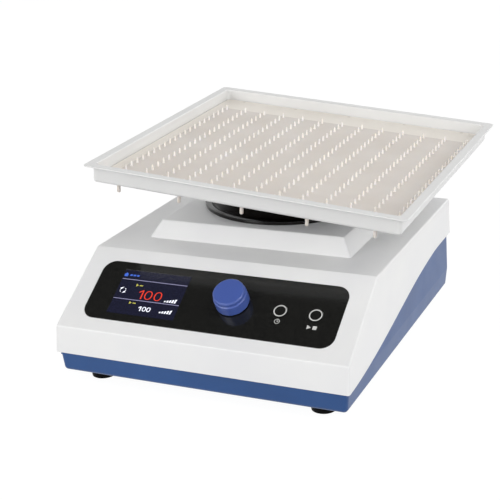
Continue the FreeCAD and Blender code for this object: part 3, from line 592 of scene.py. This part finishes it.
# Rubber boot: three rolls between the clamp ring and the hub, drawn upright from its foot
roll_count = 3
roll_steps = 72
roll_depth = 3.4
rolls_foot_radius, rolls_foot_height = 72.4, 0.4
rolls_inward, rolls_upward = 46.4, 22.6
rolls = []
for i in range(roll_steps + 1):
    t = i / roll_steps
    wave = math.sin(2 * roll_count * math.pi * t) * math.sin(math.pi * t) ** 0.4
    rolls.append((rolls_foot_radius - rolls_inward * t,
                  rolls_foot_height + rolls_upward * t ** 1.15 - roll_depth * wave))
outside = [(77.9, -1.2), (77.9, -0.05), (73.2, -0.05), *rolls, (24.7, 24.6), (24.7, 31.0)]
lining = [(r - 0.8, z - 1.3) for r, z in reversed(rolls[4:-2])]
inside = [(22.4, 31.0), (22.4, 23.8), *lining, (71.0, -1.2)]
boot = turned(outside + inside, 128, closed=True)

# The boot leans over from its foot on the plinth to its neck on the tilted hub
foot_high = plinth_top + 1.5
neck_rise = 23.0
neck_below_rim = 34.9
for v in boot.verts:
    t = min(max(v.co.z / neck_rise, 0), 1)
    lean = t * t * (3 - 2 * t)
    low = Vector((v.co.x, v.co.y + shaft_y, v.co.z + foot_high))
    high = wave_place @ (Vector((v.co.x, v.co.y, v.co.z - neck_rise - neck_below_rim)) * mm) / mm
    v.co = low.lerp(high, lean)
piece("boot_rolls", boot, boot_rubber, bench_place, "rotor", ("boot",), 60)

# Clamp ring of the boot, with a lip over the boot's bead
ring = turned([(80.0, 0.0), (80.0, 3.2), (74.6, 3.2), (74.0, 2.4), (74.0, 1.6), (78.3, 1.6), (78.3, 0.0)],
              160, rounding=0.7, closed=True)
piece("boot_clamp", ring, black_acetal, plinth_place, "base", ("boot_ring",))

# Knob: twelve soft flats, a step round it and a bevelled top
knob_x, knob_y = 18.5, 47.5
knob = stacked(2.6, [(14.6, 1.0, 0.0), (15.0, 1.6, 0.3), (14.8, 10.9, 0.4), (13.7, 11.5, 0.2),
                     (13.7, 12.1, 0.0), (14.0, 12.4, 0.2), (14.0, 14.9, 0.4), (13.0, 16.0, 0.4)],
               sides=12, corner_steps=4)
bmesh.ops.translate(knob, verts=knob.verts[:], vec=(knob_x, knob_y, 0))
piece("knob_flats", knob, knob_abs, slope_place, "knob", ("knob",), 50)

# Rings printed on the caps of the round keys
key_y = 45.0
key_ring_in, key_ring_out = 4.85, 5.85
cap_top = 0.38
ring_top = 0.46
for name, key_x in (("time", 63.1), ("start", 95.0)):
    line = turned([(key_ring_in, cap_top), (key_ring_out, cap_top), (key_ring_out, ring_top),
                   (key_ring_in, ring_top)], 64, closed=True)
    bmesh.ops.translate(line, verts=line.verts[:], vec=(key_x, key_y, 0))
    piece("key_ring_" + name, line, white_ink, slope_place, "key_" + name)

# Levels above the sloping face: the window of the display, and the tops of the marks on it
window = 0.2
shown = window + 0.05


def numerals(name, text, left, right, low, high, material, thicken):
    """Numerals of the display, thickened or thinned, and fitted between their edges."""
    half_raise = 0.02
    curve = bpy.data.curves.new(name, "FONT")
    curve.body = text
    curve.size = 10
    curve.offset = thicken
    curve.extrude = half_raise
    curve.resolution_u = 6
    words = bpy.data.objects.new(name + "_curve", curve)
    bpy.context.scene.collection.objects.link(words)
    bpy.context.view_layer.update()
    mesh = bpy.data.meshes.new_from_object(words.evaluated_get(bpy.context.evaluated_depsgraph_get()))
    bpy.data.objects.remove(words)
    bm = bmesh.new()
    bm.from_mesh(mesh)
    bpy.data.meshes.remove(mesh)
    bmesh.ops.remove_doubles(bm, verts=bm.verts[:], dist=0.0001)
    xs = [v.co.x for v in bm.verts]
    ys = [v.co.y for v in bm.verts]
    wide = (right - left) / (max(xs) - min(xs))
    tall = (high - low) / (max(ys) - min(ys))
    bmesh.ops.translate(bm, verts=bm.verts[:], vec=(-min(xs), -min(ys), 0))
    bmesh.ops.scale(bm, verts=bm.verts[:], vec=(wide, tall, 1))
    bmesh.ops.translate(bm, verts=bm.verts[:], vec=(left, low, shown - half_raise))
    piece(name, bm, material, slope_place, "base")


def figure_one(stem, width, reach, low, high):
    """The outline of a figure one: a stem with a flag that reaches to the left."""
    drop = reach * 0.65
    return [(stem, low), (stem + width, low), (stem + width, high), (stem, high),
            (stem - reach, high - drop), (stem - reach, high - drop - width), (stem, high - width)]


def shown_marks(name, outlines, material):
    """Marks that the display shows."""
    piece(name, flat(outlines, window, shown), material, slope_place, "base")


# What the display shows: the number 100 twice, two lines across and plain marks
actual_low, actual_high = 38.9, 48.4
set_low, set_high = 26.3, 31.2
numerals("number_actual", "00", -65.9, -48.8, actual_low, actual_high, glow_red, -0.2)
numerals("number_set", "00", -62.2, -54.0, set_low, set_high, glow_white, 0.0)
shown_marks("number_actual_one", [figure_one(-68.9, 1.2, 3.0, actual_low, actual_high)], glow_red)
shown_marks("number_set_one", [figure_one(-64.4, 1.0, 1.7, set_low, set_high)], glow_white)
line_left, line_right = -94.4, -29.6
lines = [bar(line_left, line_right, 58.2, 58.8), bar(line_left, line_right, 36.7, 37.3)]
shown_marks("display_lines", lines, glow_line)

# A house and three bars head the page
slant = 0.2
house = [(-94.4, 63.6), (-94.0, 63.2), (-94.0, 61.4), (-90.6, 61.4), (-90.6, 63.2), (-90.2, 63.6),
         (-92.3, 65.6)]
page_marks = [house]
for x in (-88.6, -85.2, -81.8):
    page_marks.append(bar(x, x + 2.4, 62.3, 64.0, slant))
shown_marks("display_pages", page_marks, glow_blue)

# A small arrow and a bar stand above each number
value_marks = [[(-78.0, 51.5), (-75.6, 53.1), (-78.0, 54.7)], bar(-74.6, -71.4, 52.5, 53.5, slant),
               [(-77.2, 32.2), (-74.8, 33.7), (-77.2, 35.2)], bar(-73.8, -70.8, 33.2, 34.2, slant)]
shown_marks("display_values", value_marks, glow_yellow)

# Two turning arrows at the left, and five rising bars after each number
turn_x, turn_y = -88.8, 46.2
icons = [arc(turn_x, turn_y, 2.5, 2.9, 120, 235), arc(turn_x, turn_y, 2.5, 2.9, -60, 55),
         [(-92.1, 48.2), (-88.9, 49.6), (-90.6, 46.9)], [(-85.5, 44.2), (-88.7, 42.8), (-87.0, 45.5)]]
for x, y in ((-45.0, 38.8), (-45.2, 26.9)):
    for i in range(5):
        left = x + i * 2.4
        icons.append(bar(left, left + 1.5, y, y + 1.4 + i * 0.65, slant))
shown_marks("display_icons", icons, glow_white)

# Printed marks under the keys: a clock face, and a start triangle beside a stop square
clock = [*circle_line(63.6, 34.2, 2.0, 2.5), bar(63.35, 63.85, 33.95, 35.8), bar(63.85, 64.9, 33.95, 34.45)]
start_stop = [[(90.9, 30.3), (94.5, 32.4), (90.9, 34.5)], bar(96.0, 99.6, 30.6, 34.2)]
key_marks = flat(clock + start_stop, window, window + 0.04)
piece("key_marks", key_marks, white_ink, slope_place, "base")

# Feet with a soft lower edge and one groove, hollow round the heads of their screws
foot_x, foot_y = 106, 130
foot_places = {"front_left": (-foot_x, -foot_y), "front_right": (foot_x, -foot_y),
               "back_left": (-foot_x, foot_y), "back_right": (foot_x, foot_y)}
for tag, (x, y) in foot_places.items():
    foot = turned([(3.9, 0.0), (6.4, 0.0), (6.6, 0.5), (7.4, 0.5), (7.6, 0.0), (10.7, 0.0), (11.5, 8.5),
                   (11.5, 9.5), (2.05, 9.5), (2.05, 3.4), (3.9, 3.4)], 64, rounding=0.18, closed=True)
    piece("foot_rubber_" + tag, foot, black_rubber, Matrix.Translation((x * mm, y * mm, 0)), "base",
          ("foot_" + tag,))


def screw(low, high, top):
    """A pan-head screw that points up, its head between a low and a high level, its socket below."""
    head, shank = 3.6, 2.0
    bm = turned([(head - 0.2, low), (head, low + 0.3), (head, high), (shank, high), (shank, top - 0.4),
                 (shank - 0.4, top), (0, top)], 32, rounding=0.1)
    rim = [e for e in bm.edges if e.is_boundary]
    hexagon = bmesh.ops.create_circle(bm, cap_ends=False, segments=6, radius=1.7,
                                      matrix=Matrix.Translation((0, 0, low)))
    socket = [e for e in bm.edges if e.verts[0] in hexagon["verts"]]
    bmesh.ops.bridge_loops(bm, edges=rim + socket)
    deep = bmesh.ops.extrude_edge_only(bm, edges=socket)
    bmesh.ops.translate(bm, verts=vertices_of(deep), vec=(0, 0, 1.5))
    bmesh.ops.edgeloop_fill(bm, edges=[e for e in bm.edges if e.is_boundary])
    bmesh.ops.recalc_face_normals(bm, faces=bm.faces[:])
    return bm


# Screws of the feet and of the cover, which is screwed on from below
for tag, (x, y) in foot_places.items():
    piece("foot_bolt_" + tag, screw(1.0, 3.4, 16.6), zinc_steel, Matrix.Translation((x * mm, y * mm, 0)),
          "base", ("foot_screw_" + tag,))
    low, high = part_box("cover_screw_" + tag)
    middle = (low + high) / 2
    head_low = low.z / mm
    piece("cover_bolt_" + tag, screw(head_low, head_low + 2.4, high.z / mm), zinc_steel,
          Matrix.Translation((middle.x, middle.y, 0)), "base", ("cover_screw_" + tag,))

# Solids whose sharp edges are rounded a little, as on a moulding, a die-cut sheet or a deburred plate
edge_widths = {"front_panel": 0.25, "mains_inlet": 0.5, "switch_frame": 0.5, "rocker": 0.5,
               "support_plate": 0.5, "inlet_pin_live": 0.35, "inlet_pin_neutral": 0.35,
               "inlet_pin_earth": 0.35}
for name, width in edge_widths.items():
    softened(name, width)

# Marks of the rocker, a bar for on and a ring for off, each on its half of the face
rocker_middle = Vector((-46.0, 152.2, 37.5))
rocker_rest = 8.0
half_out, half_up = 4.3, 3.8
half_lean = math.atan2(1.8, 7.6)
rocker_face = Matrix.Translation(rocker_middle * mm) @ Matrix.Rotation(math.radians(rocker_rest), 4, "X")
rocker_marks = {"on": (1, [bar(-0.4, 0.4, -1.6, 1.6)]), "off": (-1, circle_line(0, 0, 1.1, 1.7))}
for name, (side, outlines) in rocker_marks.items():
    out = Matrix.Translation((0, half_out * mm, side * half_up * mm))
    half = out @ Matrix.Rotation(-math.pi / 2 - side * half_lean, 4, "X")
    mark = flat(outlines, -0.03, 0.05)
    piece("rocker_" + name, mark, rocker_ink, rocker_face @ half, "rocker")

# Pale floor that keeps the object's shadow, white to the camera and in reflections
floor_mesh = bmesh.new()
bmesh.ops.create_grid(floor_mesh, x_segments=1, y_segments=1, size=6)
floor_data = bpy.data.meshes.new("floor")
floor_mesh.to_mesh(floor_data)
floor_mesh.free()
floor = bpy.data.objects.new("floor", floor_data)
bpy.context.scene.collection.objects.link(floor)
floor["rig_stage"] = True
floor_paint, tree, place = blank("white_sweep")
path = node(tree, "ShaderNodeLightPath")
mirrored = node(tree, "ShaderNodeMath", settings={"operation": "MAXIMUM"},
                inputs={0: path.outputs["Is Camera Ray"], 1: path.outputs["Is Glossy Ray"]})
seen = node(tree, "ShaderNodeMath", settings={"operation": "MAXIMUM"},
            inputs={0: mirrored.outputs[0], 1: path.outputs["Is Transmission Ray"]})
share = node(tree, "ShaderNodeMath", settings={"operation": "MULTIPLY"},
             inputs={0: seen.outputs[0], 1: 0.82})
paper = node(tree, "ShaderNodeBsdfDiffuse", inputs={"Color": linear("C8C8C8")})
white = node(tree, "ShaderNodeEmission", inputs={"Color": (1, 1, 1, 1), "Strength": 1.16})
mixed = node(tree, "ShaderNodeMixShader",
             inputs={0: share.outputs[0], 1: paper.outputs[0], 2: white.outputs[0]})
node(tree, "ShaderNodeOutputMaterial", inputs={"Surface": mixed.outputs[0]})
floor_data.materials.append(floor_paint)

# Room light: bright walls and a dimmer ceiling, white where the camera looks past the floor
world = bpy.data.worlds.new("studio")
bpy.context.scene.world = world
world.use_nodes = True
tree = world.node_tree
tree.nodes.clear()
place = node(tree, "ShaderNodeTexCoord")
parts = node(tree, "ShaderNodeSeparateXYZ", inputs={0: place.outputs["Generated"]})
height = node(tree, "ShaderNodeMapRange", settings={"interpolation_type": "SMOOTHSTEP"},
              inputs={"Value": parts.outputs["Z"], "From Min": 0.5, "From Max": 0.86, "To Min": 0.92,
                      "To Max": 0.08})
path = node(tree, "ShaderNodeLightPath")
room = node(tree, "ShaderNodeBackground",
            inputs={"Color": (1, 1, 1, 1), "Strength": height.outputs["Result"]})
clear = node(tree, "ShaderNodeBackground", inputs={"Color": (1, 1, 1, 1), "Strength": 1.0})
mixed = node(tree, "ShaderNodeMixShader",
             inputs={0: path.outputs["Is Camera Ray"], 1: room.outputs[0], 2: clear.outputs[0]})
node(tree, "ShaderNodeOutputWorld", inputs={"Surface": mixed.outputs[0]})


def lamp(name, place, aim_height, size, watts):
    """A square soft box in its place, that points at a height above the middle of the floor."""
    data = bpy.data.lights.new(name, "AREA")
    data.shape = "SQUARE"
    data.size = size
    data.energy = watts
    made = bpy.data.objects.new(name, data)
    bpy.context.scene.collection.objects.link(made)
    beam = Vector((0, 0, aim_height)) - Vector(place)
    made.matrix_world = Matrix.Translation(place) @ beam.to_track_quat("-Z", "Y").to_matrix().to_4x4()


lamp("front_left", (-1.1, -2.2, 0.95), aim_height=0.08, size=1.0, watts=20)
lamp("right", (2.4, -0.5, 0.9), aim_height=0.08, size=1.2, watts=14)
lamp("above_right", (1.2, -0.7, 2.0), aim_height=0.1, size=1.2, watts=10)
lamp("behind", (0.9, 2.3, 1.5), aim_height=0.1, size=1.4, watts=12)

bpy.context.scene.view_settings.view_transform = "Standard"

low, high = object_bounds()
